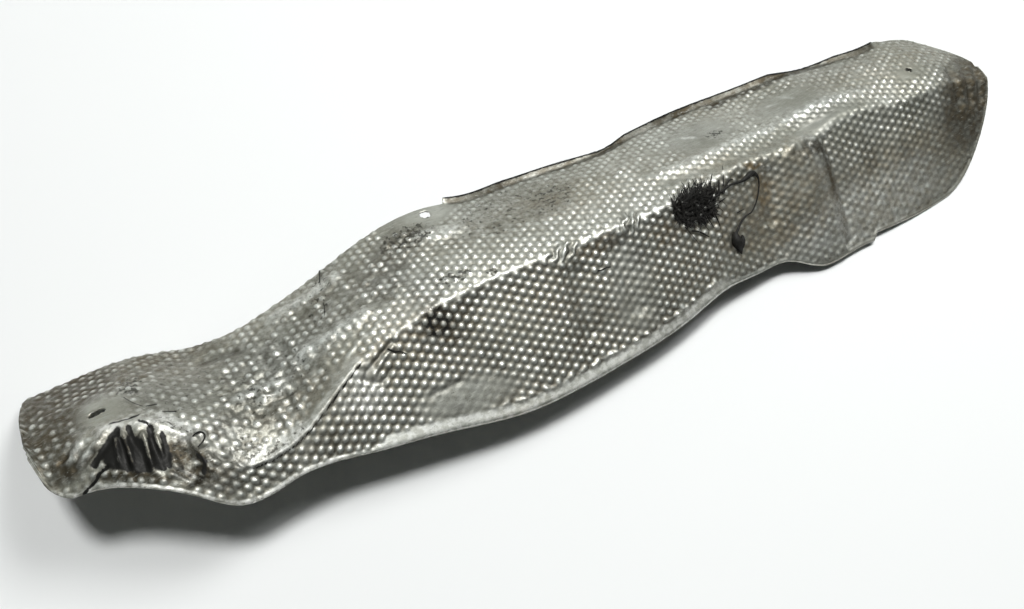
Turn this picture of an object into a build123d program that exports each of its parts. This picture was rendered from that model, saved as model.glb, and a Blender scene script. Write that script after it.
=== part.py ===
from build123d import *
from collections import namedtuple
from math import atan2, cos, radians, sin, tan
import os

# Exhaust heat shield: one sheet of aluminium, pressed to a ridge with a domed left end.
# Each section runs from the foot of the front skirt, over the shoulder crease and the top, to the back.
# Sections are drawn in a pressing frame with the top level, x from the left end and y from the front.
# The shield lies on its right front corner, its back lip and the back of its dome, so that frame is turned.

sheet = 1.0
crease_bend = 6.0
dome_bend = 30.0
lip_bend = 3.0
lip_width = 6.0
lip_rise = 32.0
run_share = 0.45
trim_reach = 200.0

slot_length = 14.0
slot_width = 6.5
slot_at = (38.0, 118.0, 80.5)
slot_lean = (-0.06, 0.19, 1.0)
locating_bore = 10.0
locating_at = (351.5, 177.0, 89.5)
fixing_bore = 7.0
fixing_at = (860.0, 105.0, 97.0)
bore_depth = 20.0

lean_back = -25.907
lean_right = 3.647
rest_height = 49.276
middle_x = 468.69
middle_y = 90.88

Station = namedtuple("Station", "x foot shoulder crest top back bend")
stations = [
    Station(-80, (76, 52), (98, 62), (116, 63), (146, 55), (200, 33), dome_bend),
    Station(-32, (56, 62), (80, 73), (104, 75), (144, 65), (204, 39), dome_bend),
    Station(16, (36, 57), (66, 78), (96, 84), (144, 71), (206, 40), dome_bend),
    Station(64, (18, 58), (45, 80), (76, 89), (128, 79), (206, 41), dome_bend),
    Station(96, (8, 34), (34, 59), (76, 79), (124, 70), (200, 43), dome_bend),
    Station(128, (8, 22), (36, 47), (72, 64), (120, 61), (192, 43), crease_bend),
    Station(168, (6, 24), (38, 54), (72, 59), (120, 61), (182, 53), crease_bend),
    Station(216, (2, 19), (56, 72), (88, 75), (128, 71), (186, 63), crease_bend),
    Station(272, (-6, 15), (70, 87), (96, 89), (136, 85), (195, 78), crease_bend),
    Station(352, (-14, 1), (74, 94), (100, 95), (136, 92), (191, 88), crease_bend),
    Station(378, (-14, 1), (74, 94), (102, 95), (140, 91), (182, 86), crease_bend),
    Station(416, (-14, 0), (73, 94), (104, 94), (144, 87), (182, 80), crease_bend),
    Station(480, (-10, 1), (70, 95), (112, 93), (152, 86), (182, 77), crease_bend),
    Station(544, (-2, 4), (69, 97), (114, 95), (152, 88), (176, 81), crease_bend),
    Station(608, (6, 6), (76, 98), (110, 96), (148, 89), (183, 80), crease_bend),
    Station(672, (-4, -12), (77, 94), (110, 93), (148, 87), (185, 79), crease_bend),
    Station(708, (-4, -11), (78, 92), (110, 92), (148, 87), (182, 81), crease_bend),
    Station(732, (-5, -10), (84, 95), (110, 94), (148, 90), (179, 84), crease_bend),
    Station(792, (0, -6), (82, 94), (110, 96), (144, 93), (171, 87), crease_bend),
    Station(856, (2, -6), (76, 92), (100, 98), (128, 98), (159, 91), crease_bend),
    Station(904, (4, -4), (74, 87), (96, 91), (124, 92), (172, 86), crease_bend),
    Station(952, (6, -3), (72, 76), (93, 80), (121, 80), (170, 75), crease_bend),
    Station(1000, (8, -1), (70, 64), (90, 67), (117, 67), (164, 62), crease_bend),
]

# Outline of the trimmed sheet, seen from above in the pressing frame.
left_end = [(-5, 191), (-11, 172), (-17, 132), (-17, 96), (-13, 76), (0, 62)]
front_rim = [
    (0, 62),
    (30, 49),
    (54, 34),
    (74, 24),
    (97, 16),
    (122, 17),
    (150, 18),
    (183, 17),
    (216, 12),
    (282, 2),
    (354, -5),
    (436, -3),
    (529, 7),
    (567, 14),
    (606, 16),
    (644, 16),
    (678, 6),
    (706, 5),
    (744, 5),
]
lobe_step = [(744, 5), (750, 9)]
right_rim = [(750, 9), (800, 9), (840, 11)]
right_end = [(840, 11), (868, 16), (898, 30), (921, 46), (937, 62), (946, 82), (946, 104), (936, 126), (914, 157)]
back_corner = [(914, 157), (890, 164), (869, 165)]
lip_edge = [
    (869, 167),
    (835, 168),
    (800, 172),
    (765, 178),
    (720, 189),
    (672, 192),
    (608, 190),
    (575, 185),
    (548, 179),
    (530, 179),
    (500, 184),
    (455, 190),
    (416, 190),
    (375, 189),
]
left_back = [
    (373, 184),
    (346, 187),
    (317, 186),
    (271, 180),
    (234, 174),
    (194, 171),
    (165, 169),
    (123, 180),
    (94, 189),
    (66, 195),
    (16, 195),
    (-5, 191),
]

rest = Location((-middle_x, -middle_y, rest_height), (lean_back, lean_right, 0))


def turn_at(before, corner, after):
    first = atan2(corner[1] - before[1], corner[0] - before[0])
    second = atan2(after[1] - corner[1], after[0] - corner[0])
    return abs(second - first)


def run_between(start, end):
    return (Vector(*end) - Vector(*start)).length


def widest_bend(before, corner, after):
    shorter = min(run_between(before, corner), run_between(corner, after))
    return run_share * shorter / tan(turn_at(before, corner, after) / 2)


with BuildPart() as pressing:
    for station in stations:
        rise = radians(lip_rise)
        lip_end = (station.back[0] + lip_width * cos(rise), station.back[1] + lip_width * sin(rise))
        line = [station.foot, station.shoulder, station.crest, station.top, station.back, lip_end]
        crest_bend = widest_bend(*line[1:4])
        top_bend = widest_bend(*line[2:5])
        with BuildSketch(Plane.YZ.offset(station.x)):
            with BuildLine():
                FilletPolyline(*line, radius=[station.bend, crest_bend, top_bend, lip_bend])
                offset(amount=sheet, side=Side.RIGHT)
            make_face()
    loft()
    with BuildSketch(Plane.XY.offset(-trim_reach)):
        with BuildLine():
            Spline(*left_end)
            Spline(*front_rim)
            Line(*lobe_step)
            Spline(*right_rim)
            Spline(*right_end)
            Spline(*back_corner)
            Line(back_corner[-1], lip_edge[0])
            Spline(*lip_edge)
            Line(lip_edge[-1], left_back[0])
            Spline(*left_back)
        make_face()
    extrude(amount=2 * trim_reach, mode=Mode.INTERSECT)
    with BuildSketch(Plane(slot_at, x_dir=(1, 0, 0), z_dir=slot_lean)):
        SlotOverall(slot_length, slot_width)
    extrude(amount=bore_depth, both=True, mode=Mode.SUBTRACT)
    with BuildSketch(Plane(locating_at)):
        Circle(locating_bore / 2)
    extrude(amount=bore_depth, both=True, mode=Mode.SUBTRACT)
    with BuildSketch(Plane(fixing_at)):
        Circle(fixing_bore / 2)
    extrude(amount=bore_depth, both=True, mode=Mode.SUBTRACT)

with BuildPart() as heat_shield:
    with Locations(rest):
        add(pressing.part)

heat_shield.part.label = "heat_shield"
os.makedirs("parts", exist_ok=True)
export_step(heat_shield.part, "parts/heat_shield.step")
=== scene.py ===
import math
import bpy
import numpy as np
from mathutils import Matrix, Vector, kdtree
from mathutils.bvhtree import BVHTree


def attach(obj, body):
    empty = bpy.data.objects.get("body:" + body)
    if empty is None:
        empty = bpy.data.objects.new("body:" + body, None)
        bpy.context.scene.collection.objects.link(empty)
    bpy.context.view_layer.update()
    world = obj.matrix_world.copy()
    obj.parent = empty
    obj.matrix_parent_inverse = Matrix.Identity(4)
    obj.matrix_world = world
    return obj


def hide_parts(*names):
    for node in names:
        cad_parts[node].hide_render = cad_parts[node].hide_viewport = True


mmPerMetre = 1000

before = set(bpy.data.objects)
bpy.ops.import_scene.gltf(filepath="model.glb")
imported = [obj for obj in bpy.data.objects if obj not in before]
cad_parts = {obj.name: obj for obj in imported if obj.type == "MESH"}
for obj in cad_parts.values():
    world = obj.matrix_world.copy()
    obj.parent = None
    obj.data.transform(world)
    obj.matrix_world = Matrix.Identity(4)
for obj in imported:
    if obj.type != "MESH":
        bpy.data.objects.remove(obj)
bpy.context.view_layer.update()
bpy.ops.object.select_all(action="DESELECT")
print("stage: frame loaded")

# how the shield was pressed and how it lies: its pressing frame (mm) turned and moved on to the floor
lay = {"leanBack": -25.907, "leanRight": 3.647, "middleX": 468.69, "middleY": 90.88, "restHeight": 49.276}
leanBack = Matrix.Rotation(math.radians(lay["leanBack"]), 4, "X")
leanRight = Matrix.Rotation(math.radians(lay["leanRight"]), 4, "Y")
turn = leanBack @ leanRight
toFloor = Matrix.Translation((-lay["middleX"], -lay["middleY"], lay["restHeight"])) @ turn
toPressing = toFloor.inverted()

# the photograph's view, in the pressing frame
shot = {
    "size": (1024, 609),
    "focalPixels": 1180.0,
    "eye": (0.0, -524.8, 760.0),
    "right": (0.847, -0.532, 0.0),
    "up": (0.376, 0.599, 0.707),
    "sensorWidth": 36.0,
    "clip": (0.01, 50.0),
}
eye = np.array(shot["eye"])
viewRight = np.array(shot["right"])
viewUp = np.array(shot["up"])
viewAhead = np.cross(viewUp, viewRight)


def toPhoto(points):
    away = points - eye
    depth = away @ viewAhead
    across = shot["size"][0] / 2 + shot["focalPixels"] * (away @ viewRight) / depth
    down = shot["size"][1] / 2 - shot["focalPixels"] * (away @ viewUp) / depth
    return np.stack([across, down], 1)


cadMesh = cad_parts["heat_shield"].data
cadPoints = np.empty(len(cadMesh.vertices) * 3)
cadMesh.vertices.foreach_get("co", cadPoints)
cadPoints = cadPoints.reshape(-1, 3) * mmPerMetre
cadPoints = cadPoints @ np.array(toPressing.to_3x3()).T + np.array(toPressing.translation)
cadMesh.calc_loop_triangles()
cadFaces = [tuple(face.vertices) for face in cadMesh.loop_triangles]
sheetTree = BVHTree.FromPolygons([Vector(p) for p in cadPoints], cadFaces)


# where a photograph pixel's line of sight meets the sheet
def onSheet(pixel):
    aim = (pixel[0] - shot["size"][0] / 2) * viewRight - (pixel[1] - shot["size"][1] / 2) * viewUp
    aim = aim + shot["focalPixels"] * viewAhead
    spot, normal = sheetTree.ray_cast(Vector(eye), Vector(aim).normalized())[:2]
    return np.array(spot), np.array(normal)


# embossed sheet, all in mm: the dimples lie on a hexagonal net in the flat sheet, drawn out at the left end.
# The net is finer than the dimples, and close to a rim it follows that rim
sheet = {
    "thickness": 1.0,
    "rowStep": 6.80,
    "acrossStep": 7.93,
    "firstRow": 4.17,
    "firstAcross": 0.86,
    "drawnFrom": 45.0,
    "drawnEnds": (55.0, 115.0),
    "drawnSkew": 0.12,
    "drawnShare": 0.265,
    "middleLine": 72.0,
    "stepsPerDimple": 5,
    "dimpleRadius": 4.2,
    "dimpleHeight": 1.7,
    "dimpleSink": 0.2,
    "wander": 0.45,
    "wanderAlong": (60, 41),
    "wanderAcross": (66, 42),
    "sampleStep": 1.0,
    "sampleMargin": 2,
    "rayStart": 50.0,
    "rimMargin": 0.3,
    "rimHalvings": 7,
    "rimClear": 0.8,
    "rimFollow": (8, 16),
    "evenRows": 2.0,
    "evenSamples": 1.3,
    "evenReach": 2.5,
    "rimRows": 4,
    "rimSamples": 3,
    "fewInside": 3,
    "fewInRow": 5,
    "mostFaces": 195000,
}

# creases and marks along a path of photograph pixels: half width in pixels, rise in mm, then shares of
# dimples flattened, soil, tar, shine, flecks and scuffed metal. The soil is partly painted shade in the
# grooves, pockets, wrinkles and folds, the tar partly painted shadow in the dent and creases, and the shine
# painted highlight on the ridges, crests, bends and streaks, but real wear on the scratches. A clean line
# loses its tar, and with a fade both ends of a path die out over that share of its length
lines = {
    "shoulderLeft": {
        "path": [(397, 333), (421, 315), (440, 303), (460, 295), (488, 280), (520, 267), (549, 256)],
        "width": 2.2, "rise": 0.4, "flat": 0.6, "shineAndPaintedHighlight": 0.75,
    },
    "shoulderMiddle": {
        "path": [(576, 247), (590, 240), (608, 230), (619, 226)],
        "width": 2.2, "rise": 0.4, "flat": 0.6, "shineAndPaintedHighlight": 0.8,
    },
    "shoulderRight": {
        "path": [(642, 216), (673, 202), (705, 183), (740, 165)],
        "width": 2.4, "rise": 0.4, "flat": 0.6, "shineAndPaintedHighlight": 0.7,
    },
    "panelArch": {
        "path": [(789, 149), (796, 142), (805, 137.5), (814, 139)],
        "width": 2.4, "rise": 0.8, "flat": 0.4, "shineAndPaintedHighlight": 0.7,
    },
    "shoulderEnd": {
        "path": [(818, 136), (840, 122), (868, 108), (888, 102), (906, 100), (930, 92)],
        "width": 3.0, "rise": 0.3, "flat": 0.2, "shineAndPaintedHighlight": 0.3,
    },
    "upperBend": {
        "path": [
            (640, 181), (660, 174), (683, 166), (697, 159), (720, 150), (736, 143), (753, 136),
            (784, 122), (815, 106), (850, 95), (880, 85),
        ],
        "width": 4.2, "rise": 1.7, "shineAndPaintedHighlight": 1.0, "fade": 0.12,
    },
    "underBend": {
        "path": [(646, 189), (703, 170), (760, 151), (800, 131), (835, 112), (870, 100)],
        "width": 4.5, "rise": -0.9, "flat": 0.75, "soilAndPaintedShade": 0.15, "fade": 0.1,
    },
    "pocketSide": {
        "path": [(392, 342), (378, 358), (367, 371), (364, 380)],
        "width": 2.4, "rise": -1.6, "flat": 0.7, "soilAndPaintedShade": 0.7,
    },
    "pocketFoot": {
        "path": [(364, 380), (373, 383), (383, 382), (391, 370)],
        "width": 2.2, "rise": -1.2, "flat": 0.7, "soilAndPaintedShade": 0.6,
    },
    "plateGroove": {
        "path": [(468, 376), (446, 388), (424, 398)],
        "width": 3.2, "rise": -0.7, "flat": 0.6, "soilAndPaintedShade": 0.6, "fade": 0.2,
    },
    "skirtBandLeft": {
        "path": [(572, 262), (582, 300), (596, 345)],
        "width": 12.0, "rise": -2.4, "fade": 0.15,
    },
    "skirtBandRight": {
        "path": [(612, 236), (626, 270), (644, 320)],
        "width": 12.0, "rise": -2.4, "fade": 0.15,
    },
    "skirtValley": {
        "path": [(762, 166), (768, 190), (774, 228)],
        "width": 8.0, "rise": -2.6, "flat": 0.2, "soilAndPaintedShade": 0.35, "fade": 0.12,
    },
    "wrinkleUpper": {
        "path": [(190, 440), (203, 452), (210, 468)],
        "width": 3.0, "rise": -1.8, "flat": 0.6, "soilAndPaintedShade": 0.8,
    },
    "wrinkleLower": {
        "path": [(205, 447), (222, 458), (233, 460)],
        "width": 3.0, "rise": -1.5, "flat": 0.6, "soilAndPaintedShade": 0.7,
    },
    "wrinkleDark": {"path": [(199, 454), (206, 461), (204, 472)], "width": 3.4, "rise": -0.8, "tarAndPaintedShadow": 0.85},
    "foldLine": {
        "path": [(216, 446), (230, 449), (240, 465), (248, 470)],
        "width": 2.0, "rise": -1.2, "flat": 0.5, "soilAndPaintedShade": 0.7,
    },
    "overlap": {
        "path": [(107, 467), (99, 474), (96, 481), (84, 494)],
        "width": 1.7, "rise": -1.6, "flat": 0.6, "tarAndPaintedShadow": 1.0,
    },
    "domeCrest": {
        "path": [(101, 432), (115, 427), (126, 424), (144, 422), (158, 425), (172, 430), (186, 436)],
        "width": 5.0, "rise": 2.4, "flat": 0.75, "shineAndPaintedHighlight": 1.0, "scuff": 1.0, "clean": 1.0,
    },
    "saddleFold": {
        "path": [(226, 403), (250, 394), (275, 384), (292, 374)],
        "width": 4.5, "rise": 1.6, "flat": 0.2, "shineAndPaintedHighlight": 1.0, "fleck": 0.6, "fade": 0.2,
    },
    "saddleRibs": {
        "path": [(252, 402), (275, 394), (292, 384)],
        "width": 2.2, "rise": 1.3, "flat": 0.7, "shineAndPaintedHighlight": 0.9, "fade": 0.3,
    },
    "saddleEdge": {
        "path": [(252, 409), (275, 401), (296, 388)],
        "width": 2.0, "rise": -0.7, "flat": 0.5, "soilAndPaintedShade": 0.6, "fade": 0.25,
    },
    "saddleGroove": {
        "path": [(190, 366), (215, 357), (235, 350), (252, 345)],
        "width": 5.0, "rise": -2.2, "flat": 0.6, "soilAndPaintedShade": 0.8, "fade": 0.2,
    },
    "backStreak": {
        "path": [(262, 324), (288, 310), (305, 300), (322, 287), (348, 268)],
        "width": 5.5, "rise": 2.2, "flat": 0.2, "shineAndPaintedHighlight": 1.0, "fleck": 0.35, "fade": 0.2,
    },
    "midStreak": {
        "path": [(290, 370), (300, 360), (312, 347), (328, 340), (345, 327), (378, 305)],
        "width": 6.5, "rise": 2.6, "flat": 0.2, "shineAndPaintedHighlight": 1.0, "fleck": 0.35, "fade": 0.2,
    },
    "creaseAbove": {
        "path": [(343, 364), (352, 350), (361, 340), (375, 328), (392, 323)],
        "width": 1.5, "rise": 0.6, "flat": 0.6, "shineAndPaintedHighlight": 0.9, "fade": 0.15,
    },
    "creaseSide": {
        "path": [(312, 420), (330, 395), (348, 366), (360, 350)],
        "width": 7.0, "flat": 0.8, "fade": 0.15,
    },
    "flankOne": {
        "path": [(101, 438), (88, 453), (76, 470)],
        "width": 2.8, "rise": 2.4, "flat": 0.7, "shineAndPaintedHighlight": 0.9, "fade": 0.2,
    },
    "flankTwo": {
        "path": [(86, 434), (78, 448), (66, 468)],
        "width": 3.0, "rise": 2.2, "flat": 0.6, "shineAndPaintedHighlight": 0.8, "fade": 0.2,
    },
    "flankDark": {
        "path": [(97, 449), (86, 461), (72, 475)],
        "width": 3.0, "rise": -2.2, "flat": 0.3, "soilAndPaintedShade": 1.1, "fade": 0.15,
    },
    "flankDarkLow": {
        "path": [(73, 444), (66, 455), (58, 467)],
        "width": 3.0, "rise": -2.0, "flat": 0.3, "soilAndPaintedShade": 1.1, "fade": 0.2,
    },
    "dentOne": {
        "path": [(119, 431), (108, 442), (98, 454), (95, 465)],
        "width": 4.4, "rise": -1.2, "flat": 0.6, "tarAndPaintedShadow": 1.0,
    },
    "dentTwo": {
        "path": [(120, 438), (125, 455), (128, 470)],
        "width": 2.4, "rise": -1.0, "flat": 0.6, "tarAndPaintedShadow": 0.95,
    },
    "dentThree": {
        "path": [(129, 429), (133, 441), (141, 452), (146, 470)],
        "width": 3.4, "rise": -1.2, "flat": 0.6, "tarAndPaintedShadow": 1.0,
    },
    "dentFour": {
        "path": [(150, 430), (157, 448), (164, 468)],
        "width": 4.2, "rise": -1.2, "flat": 0.6, "tarAndPaintedShadow": 1.0,
    },
    "dentFive": {
        "path": [(162, 434), (167, 447), (170, 465)],
        "width": 2.9, "rise": -0.8, "flat": 0.6, "tarAndPaintedShadow": 1.0,
    },
    "crackLeft": {
        "path": [(110, 425), (120, 423), (128, 421), (134, 418), (139, 415)],
        "width": 1.1, "rise": -0.6, "tarAndPaintedShadow": 0.9,
    },
    "crackRight": {"path": [(139, 423), (148, 425), (153, 431)], "width": 1.2, "rise": -0.6, "tarAndPaintedShadow": 0.9},
    "stretchUpper": {
        "path": [(171, 464), (185, 471), (199, 480)],
        "width": 2.0, "rise": 0.8, "flat": 0.6, "shineAndPaintedHighlight": 0.5, "fade": 0.2,
    },
    "stretchLower": {
        "path": [(168, 472), (182, 478), (196, 486)],
        "width": 2.0, "rise": 0.8, "flat": 0.6, "shineAndPaintedHighlight": 0.5, "fade": 0.2,
    },
    "panelRim": {
        "path": [(786, 152), (793, 147), (803, 140), (813, 139)],
        "width": 2.6, "rise": 0.9, "flat": 0.3, "shineAndPaintedHighlight": 0.2,
    },
    "panelShade": {
        "path": [(788, 158), (799, 150), (808, 147), (815, 153)],
        "width": 3.0, "rise": -1.2, "flat": 0.3, "soilAndPaintedShade": 0.8, "fade": 0.2,
    },
    "endFoldOne": {
        "path": [(944, 62), (956, 84), (962, 112)],
        "width": 4.0, "rise": -3.0, "flat": 0.5, "soilAndPaintedShade": 0.75, "fade": 0.2,
    },
    "endFoldTwo": {
        "path": [(958, 56), (968, 80), (972, 110)],
        "width": 3.6, "rise": -2.6, "flat": 0.5, "soilAndPaintedShade": 0.75, "fade": 0.2,
    },
    "endFoldThree": {
        "path": [(971, 62), (979, 82), (981, 108)],
        "width": 3.0, "rise": -2.0, "flat": 0.5, "soilAndPaintedShade": 0.6, "fade": 0.2,
    },
    "pocketRidge": {
        "path": [(393, 347), (383, 360), (373, 376)],
        "width": 2.2, "rise": 1.0, "flat": 0.4, "shineAndPaintedHighlight": 0.7,
    },
    "scratchLeft": {"path": [(674, 138), (700, 138)], "width": 1.1, "shineAndPaintedHighlight": 0.9, "fade": 0.3},
    "scratchMiddle": {"path": [(764, 108), (780, 103)], "width": 1.0, "shineAndPaintedHighlight": 0.8, "fade": 0.3},
    "scratchRight": {"path": [(774, 97), (798, 98)], "width": 1.1, "shineAndPaintedHighlight": 0.9, "fade": 0.3},
    "endCrack": {"path": [(968, 69), (975, 73), (981, 76)], "width": 1.6, "rise": -0.9, "soilAndPaintedShade": 0.9},
}
# soft oval areas of photograph pixels (x, y, half width, half height, turn in degrees) and what they do there
areas = {
    "slotPad": {"oval": (100, 412, 27, 12, -15), "flat": 1.0, "mottle": -0.7},
    "locatingPad": {"oval": (427, 214, 27, 13, -22), "flat": 1.0, "mottle": -0.8},
    "padBand": {"oval": (398, 223, 22, 7, -27), "flat": 0.8, "mottle": -0.5},
    "fixingPad": {"oval": (908, 73, 13, 7, -15), "flat": 1.0, "mottle": -0.6},
    "plate": {"oval": (472, 396, 50, 19, -15), "flat": 0.85, "mottle": 0.2},
    "topFlatLeft": {"oval": (700, 137, 31, 15, -20), "flat": 0.9, "mottle": -0.7, "soilAndPaintedShade": 0.2},
    "topFlatRight": {"oval": (787, 102, 36, 11, -20), "flat": 0.85, "mottle": -0.7, "soilAndPaintedShade": 0.2},
    "bendFlat": {"oval": (820, 124, 30, 7, -25), "flat": 0.75, "mottle": -0.8},
    "saddle": {"oval": (268, 385, 66, 46, -30), "soilAndPaintedShade": 0.45, "mottle": 0.4, "fleck": 0.3, "crumple": 1.2},
    "backSlope": {"oval": (330, 310, 74, 30, -35), "soilAndPaintedShade": 0.35, "mottle": 0.3, "crumple": 0.8},
    "domeTop": {"oval": (178, 388, 50, 26, -15), "flat": 0.2, "fleck": 0.25, "soilAndPaintedShade": 0.35, "crumple": 0.5},
    "domeBack": {
        "oval": (150, 365, 70, 14, -18),
        "soilAndPaintedShade": 0.55, "grime": 0.3, "mottle": 0.3, "crumple": 0.5,
    },
    # beside the dent, the dark is soil and tar with painted shade
    "dentRight": {
        "oval": (192, 466, 30, 21, 20),
        "flat": 0.3, "soilAndPaintedShade": 1.2, "tarValley": 0.35, "crumple": 1.0,
    },
    "flankShade": {"oval": (66, 466, 27, 18, -40), "flat": 0.2, "soilAndPaintedShade": 1.0, "crumple": 0.6},
    "saddleFoot": {"oval": (238, 423, 46, 13, -15), "soilAndPaintedShade": 0.55, "mottle": 0.3},
    "frontFlank": {"oval": (252, 472, 64, 18, -12), "soilAndPaintedShade": 0.8},
    "padShade": {"oval": (386, 268, 22, 42, 25), "soilAndPaintedShade": 0.55, "mottle": 0.3, "crumple": 0.9},
    "topMiddle": {"oval": (505, 213, 62, 20, -22), "flat": 0.4, "fleck": 0.45, "mottle": 0.5, "soilAndPaintedShade": 0.15},
    "topRough": {"oval": (550, 201, 26, 13, -25), "flat": 0.4, "fleck": 0.7, "mottle": 0.5, "soilAndPaintedShade": 0.25},
    # the dent: tar and soil with painted shade
    "dent": {"oval": (135, 454, 37, 19, 6), "flat": 0.9, "tarAndPaintedShadow": 1.0, "soilAndPaintedShade": 0.9, "rise": -1.6},
    "dentSide": {"oval": (178, 451, 15, 14, 20), "flat": 0.4, "soilAndPaintedShade": 1.2, "tarValley": 0.4},
    "notchLeft": {"oval": (562, 253, 16, 9, -25), "flat": 0.95},
    "notchRight": {"oval": (631, 223, 12, 11, -35), "flat": 0.95},
    "tarShoulder": {"oval": (438, 322, 20, 18, -30), "flat": 0.35, "tarValley": 0.55, "soilAndPaintedShade": 1.2},
    "tarFringe": {"oval": (446, 329, 29, 23, -30), "soilAndPaintedShade": 0.9},
    # a smoother patch of skirt with a faint painted light
    "skirtSmooth": {"oval": (636, 288, 24, 44, -16), "flat": 0.45, "shineAndPaintedHighlight": 0.25},
    "skirtShade": {"oval": (586, 318, 20, 40, -12), "soilAndPaintedShade": 0.4, "flat": 0.2},
    "shadeClump": {"oval": (668, 232, 22, 14, -25), "soilAndPaintedShade": 0.5, "grime": 0.4},
    "tarSkirt": {"oval": (468, 303, 22, 8, -30), "soilAndPaintedShade": 0.8},
    "fleckDome": {"oval": (128, 388, 16, 9, -10), "fleck": 0.95, "soilAndPaintedShade": 0.25},
    "fleckTop": {"oval": (455, 278, 19, 7, -20), "fleck": 1.0},
    "fleckShoulder": {"oval": (493, 272, 6, 5, 0), "fleck": 1.0},
    "fleckPad": {"oval": (405, 239, 30, 11, -20), "fleck": 1.0, "soilAndPaintedShade": 0.5},
    "fleckRight": {"oval": (714, 135, 10, 4, -15), "fleck": 0.8},
    "fleckSaddle": {"oval": (318, 300, 12, 34, 12), "fleck": 0.5, "soilAndPaintedShade": 0.3},
    "fleckHollow": {"oval": (246, 398, 24, 10, -25), "fleck": 0.7},
    # a painted highlight on the pad
    "shinePad": {"oval": (438, 233, 24, 6, -12), "shineAndPaintedHighlight": 1.0, "rise": 1.6},
    "hollowDull": {"oval": (246, 447, 20, 12, -20), "soilAndPaintedShade": 0.6, "fleck": 0.7},
    # painted highlights in the hollow and along the band
    "shineHollow": {"oval": (268, 450, 24, 8, -30), "flat": 0.3, "shineAndPaintedHighlight": 0.6, "fleck": 0.7},
    "shineBand": {"oval": (290, 438, 30, 7, -40), "flat": 0.85, "shineAndPaintedHighlight": 0.8, "scuff": 0.9, "fleck": 0.5},
    # a painted pool of light on the skirt, over scuffed metal
    "skirtLight": {"oval": (358, 388, 24, 28, 0), "shineAndPaintedHighlight": 0.7, "scuff": 0.4},
    "skirtDull": {"oval": (328, 446, 30, 14, -30), "soilAndPaintedShade": 0.7},
    "topEndDull": {"oval": (815, 82, 62, 13, -22), "soilAndPaintedShade": 0.2},
    "shoulderDull": {"oval": (426, 290, 22, 17, -30), "soilAndPaintedShade": 0.45},
    "bendDull": {"oval": (818, 112, 26, 12, -25), "soilAndPaintedShade": 0.4},
    # a painted pool of light on the lobe
    "lobeLight": {"oval": (866, 210, 88, 28, -28), "shineAndPaintedHighlight": 0.9, "scuff": 0.12},
    "lipShade": {"oval": (750, 88, 42, 5, -22), "soilAndPaintedShade": 0.9},
    # a painted highlight on the dome, over scuffed metal
    "domeShine": {"oval": (174, 425, 26, 9, 22), "flat": 0.4, "shineAndPaintedHighlight": 0.8, "scuff": 0.9, "fleck": 0.6},
    "dirtPad": {"oval": (395, 256, 26, 22, -30), "soilAndPaintedShade": 0.35, "mottle": 0.3},
    "leftEnd": {
        "oval": (46, 425, 34, 54, 0),
        "flat": 0.15, "grime": 0.28, "soilAndPaintedShade": 0.95, "mottle": 0.4, "crumple": 0.35,
    },
    "leftUpper": {
        "oval": (78, 389, 44, 16, -22),
        "grime": 0.28, "soilAndPaintedShade": 1.0, "mottle": 0.4, "crumple": 0.2,
    },
    "dentFoot": {"oval": (136, 478, 42, 8, 3), "soilAndPaintedShade": 1.1, "crumple": 0.4},
    "rightEnd": {"oval": (970, 98, 30, 52, 10), "grime": 0.35, "soilAndPaintedShade": 0.9, "flat": 0.45},
    "skirtRight": {
        "oval": (780, 212, 75, 40, -25),
        "grime": 0.5, "soilAndPaintedShade": 0.12, "flat": 0.28, "crumple": 0.25,
    },
    "lobe": {"oval": (900, 180, 95, 42, -35), "grime": 0.4, "soilAndPaintedShade": 0.08, "flat": 0.42, "crumple": 0.25},
    "lobeFoot": {"oval": (880, 215, 95, 14, -28), "flat": 0.5},
    "stepPanel": {"oval": (797, 178, 20, 40, -12), "grime": 0.4, "rise": 2.4, "flat": 0.25},
    "archShade": {"oval": (811, 147, 10, 8, 40), "flat": 0.3, "soilAndPaintedShade": 0.9},
    "brownStain": {"oval": (752, 166, 10, 4, -10), "grime": 1.2, "soilAndPaintedShade": 0.6},
    "brownValley": {"oval": (764, 192, 11, 22, 0), "grime": 1.0, "soilAndPaintedShade": 0.4},
    "darkShoulder": {"oval": (598, 246, 26, 9, -28), "soilAndPaintedShade": 0.6, "grime": 0.4},
    "clumpBase": {"oval": (694, 208, 22, 17, -15), "tarAndPaintedShadow": 0.5, "tarValley": 1.0},
    "lipDirtLeft": {"oval": (672, 117, 9, 3, -22), "soilAndPaintedShade": 1.0},
    "lipDirtRight": {"oval": (716, 105, 12, 3, -22), "soilAndPaintedShade": 1.0},
}


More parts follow.
